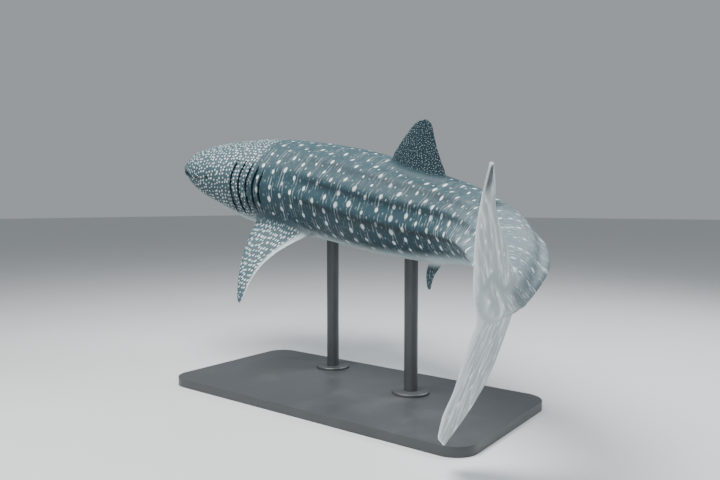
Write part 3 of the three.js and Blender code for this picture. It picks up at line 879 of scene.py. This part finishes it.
backward, upward = measured(tail_along), measured(tail_up)
spread = reckoned("SQRT", plus(times(upward, upward), 0.03))
aside = minus(backward, plus(times(upward, 0.24), times(spread, 0.36)))
streaks = stepped(noise(vector_of(times(aside, 42.0), times(upward, 3.5), 2.0), 1.0, 4.0), 0.42, 0.70)
tail_spots = dots(vector_of(times(aside, 13.0), times(upward, 5.5)), 1.0, 0.06, 0.22, 0.9)
# darker at the upper tip: its dark margin, and painted shade on the face that turns away there
dark_margin_and_shade_at_tip = times(stepped(upward, 0.88, 0.96), stepped(upward, 1.04, 1.02), stepped(v, 0.35, 0.55), on_lobe)

# colours: slate above, paler to the rear and below, with pale marks, painted light on the back and painted
# shade
grey = noise(place, 1.3, 3.0)
mottle = noise(place, 9.0, 5.0, 0.65)
painted_light_on_top = stepped(round_body, 0.30, 0.04)
pale_mark = (0.66, 0.74, 0.76)
pale_dot = (0.62, 0.70, 0.72)
pale_belly = blended(mottle, (0.34, 0.44, 0.46), (0.46, 0.55, 0.56))
slate = blended(grey, (0.008, 0.026, 0.036), (0.016, 0.046, 0.060))
slate = blended(times(mottle, 0.4), slate, (0.036, 0.080, 0.100))
# painted light: the top of the back paler, as where light falls from above
slate = blended(times(painted_light_on_top, 0.25), slate, (0.045, 0.080, 0.096))
slate = blended(times(rear, 0.75), slate, (0.16, 0.215, 0.235))
head_slate = blended(mottle, (0.028, 0.056, 0.068), (0.056, 0.094, 0.110))
ground = blended(head, slate, head_slate)
ground = blended(times(belly, 0.9), ground, pale_belly)
# painted shade: dark under the ridges, along the gill slits and inside the openings; the marks fade there too
ground = blended(times(shadow, 0.85), ground, (0.004, 0.011, 0.016))
ground = blended(times(marks, minus(1.0, times(shadow, shadow))), ground, pale_mark)

spotted_above = blended(mottle, (0.030, 0.060, 0.074), (0.075, 0.120, 0.138))
spotted_above = blended(fin_dots, spotted_above, pale_dot)
spotted_below = blended(mottle, (0.30, 0.38, 0.40), (0.42, 0.50, 0.52))
spotted_below = blended(times(fin_dots, 0.35), spotted_below, pale_dot)
spotted_tone = blended(times(minus(1.0, face_side), 0.8), spotted_above, spotted_below)
spotted_tone = blended(times(stepped(u, 0.7, 1.0), 0.5), spotted_tone, (0.03, 0.06, 0.075))
spotted_tone = blended(margin, spotted_tone, (0.55, 0.63, 0.65))
# the smaller fins are dark; on the pelvic fins this is partly painted shade from under the belly
speckled_tone = blended(times(fine_fin, 0.7), (0.010, 0.026, 0.034), (0.34, 0.43, 0.46))
# painted light: the pale ground of the lobes, as where strong light falls on them
lobe_tone = blended(mottle, (0.33, 0.385, 0.40), (0.50, 0.555, 0.57))
lobe_tone = blended(streaks, lobe_tone, (0.80, 0.84, 0.845))
lobe_tone = blended(tail_spots, lobe_tone, (0.94, 0.96, 0.96))
lobe_tone = blended(times(dark_margin_and_shade_at_tip, 0.85), lobe_tone, (0.015, 0.03, 0.04))
lobe_tone = blended(times(margin, on_lobe, 0.6), lobe_tone, (0.85, 0.89, 0.90))

dark_seam = blended(mottle, (0.012, 0.034, 0.044), (0.034, 0.070, 0.086))
light_seam = blended(mottle, (0.36, 0.42, 0.44), (0.52, 0.58, 0.60))
colour = blended(on_spotted, ground, spotted_tone)
colour = blended(on_speckled, colour, speckled_tone)
colour = blended(tail, colour, lobe_tone)
colour = blended(stepped(seam, 0.1, 0.95), colour, blended(pale_seam, dark_seam, light_seam))

folds = noise(vector_of(times(arc_x, 30.0), times(arc_y, 7.0), 1.0), 1.0, 4.0)
relief_in_hide = raised(noise(place, 260.0, 2.0, 0.6), 0.25, 0.0018)
relief_in_hide = raised(folds, 0.35, 0.006, relief_in_hide)
relief_in_hide = raised(marks, 0.3, 0.002, relief_in_hide)
surface = node("ShaderNodeBsdfPrincipled", inputs={
    "Base Color": colour,
    "Roughness": plus(0.50, times(mottle, 0.2)),
    "Normal": relief_in_hide,
    "Specular IOR Level": 0.3,
})
node("ShaderNodeOutputMaterial", inputs={"Surface": surface.outputs[0]})
skin.data.materials.clear()
skin.data.materials.append(hide)
flesh = [name for name in frame["nodes"] if not name.startswith(("stand_", "eye_"))]
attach(skin, "root")
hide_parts(*flesh)

# Eyes: two small balls of dark polished glass, each with a slightly paler ring round a round pupil.
# Each sits in its socket in the side of the head, with a thin gap round it and its front standing out.
PUPIL_EDGE, RING_EDGE = (0.012, 0.0132), (0.021, 0.018)
for side, name in ((1, "eye_left"), (-1, "eye_right")):
    centre = eye_centre(side)
    look = axes_at(EYE_STATION)[1] * side
    bpy.ops.mesh.primitive_uv_sphere_add(segments=40, ring_count=20, radius=EYE_RADIUS)
    eye = bpy.context.object
    eye.name = f"ball_of_{name}"
    eye.data.transform(Matrix.Translation(centre) @ look.to_track_quat("Z", "Y").to_matrix().to_4x4())
    bpy.ops.object.shade_smooth()
    gloss, tree = new_material(f"{name}_gloss")
    place = node("ShaderNodeTexCoord").outputs["Object"]
    front = {0: place, 1: centre + look * EYE_RADIUS}
    from_front = node("ShaderNodeVectorMath", operation="DISTANCE", inputs=front).outputs["Value"]
    ring = times(stepped(from_front, *PUPIL_EDGE), stepped(from_front, *RING_EDGE))
    fleck = noise(place, 300.0, 3.0)
    glass = node("ShaderNodeBsdfPrincipled", inputs={
        "Base Color": blended(times(ring, fleck), (0.004, 0.005, 0.006), (0.052, 0.052, 0.047)),
        "Roughness": plus(0.05, times(fleck, 0.08)),
        "Coat Weight": 0.8,
        "Coat Roughness": 0.03,
        "Normal": raised(fleck, 0.1, 0.0004),
    })
    node("ShaderNodeOutputMaterial", inputs={"Surface": glass.outputs[0]})
    eye.data.materials.append(gloss)
    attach(eye, "root")
    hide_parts(name)

# Stand: a flat steel base with two upright steel rods on round feet, which carry the body from below.
# All of it has a dark satin powder coat with a fine peel and a little dust. The solids are shown as
# they are, in this coat.
coat, tree = new_material("powder_coat")
place = node("ShaderNodeTexCoord").outputs["Object"]
dust = stepped(noise(place, 3.0, 4.0), 0.45, 0.75)
paint = node("ShaderNodeBsdfPrincipled", inputs={
    "Base Color": blended(times(dust, 0.35), (0.045, 0.050, 0.055), (0.085, 0.090, 0.095)),
    "Roughness": plus(0.38, times(dust, 0.14)),
    "Metallic": 0.0,
    "Normal": raised(noise(place, 420.0, 2.0), 0.2, 0.0006),
})
node("ShaderNodeOutputMaterial", inputs={"Surface": paint.outputs[0]})
for name in frame["nodes"]:
    if name.startswith("stand_"):
        item = bpy.data.objects[name]
        item.data.materials.clear()
        item.data.materials.append(coat)

# Room: a plain pale floor, which isn't part of the model, in a pale light from all round. One large
# lamp hangs above to the left, one shines from beyond the model on the right, and a weak one from
# behind the viewer.
bpy.ops.mesh.primitive_plane_add(size=160)
floor = bpy.context.object
floor.name = "floor"
pale, tree = new_material("pale_floor")
place = node("ShaderNodeTexCoord").outputs["Object"]
matt = node("ShaderNodeBsdfPrincipled", inputs={
    "Base Color": blended(noise(place, 0.8, 4.0), (0.60, 0.61, 0.62), (0.66, 0.67, 0.68)),
    "Roughness": plus(0.6, times(noise(place, 40.0), 0.1)),
})
node("ShaderNodeOutputMaterial", inputs={"Surface": matt.outputs[0]})
floor.data.materials.append(pale)

world = bpy.data.worlds.new("pale_room")
bpy.context.scene.world = world
world.use_nodes = True
world.node_tree.nodes["Background"].inputs[0].default_value = (0.80, 0.86, 0.90, 1)
world.node_tree.nodes["Background"].inputs[1].default_value = 0.42
LIT_AT = Vector((0.2, -0.2, 1.4))
for name, at, size, power, tint in (
    ("key", (-1.0, -2.6, 7.5), 4.0, 1150, (1.0, 0.99, 0.97)),
    ("rim", (3.5, 4.5, 6.0), 4.0, 500, (0.92, 0.97, 1.0)),
    ("fill", (4.0, -7.0, 3.0), 5.0, 160, (0.92, 0.97, 1.0)),
):
    lamp = bpy.data.lights.new(name, "AREA")
    lamp.size = size
    lamp.energy = power
    lamp.color = tint
    holder = bpy.data.objects.new(name, lamp)
    bpy.context.collection.objects.link(holder)
    holder.location = at
    holder.rotation_euler = (LIT_AT - Vector(at)).to_track_quat("-Z", "Y").to_euler()

# Camera: where the photograph was taken from, behind the left side and a little over level, with the
# width of view that gives the body its size in the picture.
VIEWPOINT = (3.2632, -4.1594, 1.5652)
AZIMUTH, ELEVATION = 37.07, 3.01
PICTURE_WIDTH, FOCAL_PIXELS = 720, 643.53
SENSOR_WIDTH = 36
camera = bpy.data.cameras.new("camera")
camera.sensor_width = SENSOR_WIDTH
camera.lens = FOCAL_PIXELS * SENSOR_WIDTH / PICTURE_WIDTH
camera.clip_end = 400
viewer = bpy.data.objects.new("camera", camera)
bpy.context.collection.objects.link(viewer)
viewer.location = VIEWPOINT
az, el = math.radians(AZIMUTH), math.radians(ELEVATION)
ahead = Vector((-math.sin(az) * math.cos(el), math.cos(az) * math.cos(el), -math.sin(el)))
viewer.rotation_euler = ahead.to_track_quat("-Z", "Y").to_euler()
bpy.context.scene.camera = viewer
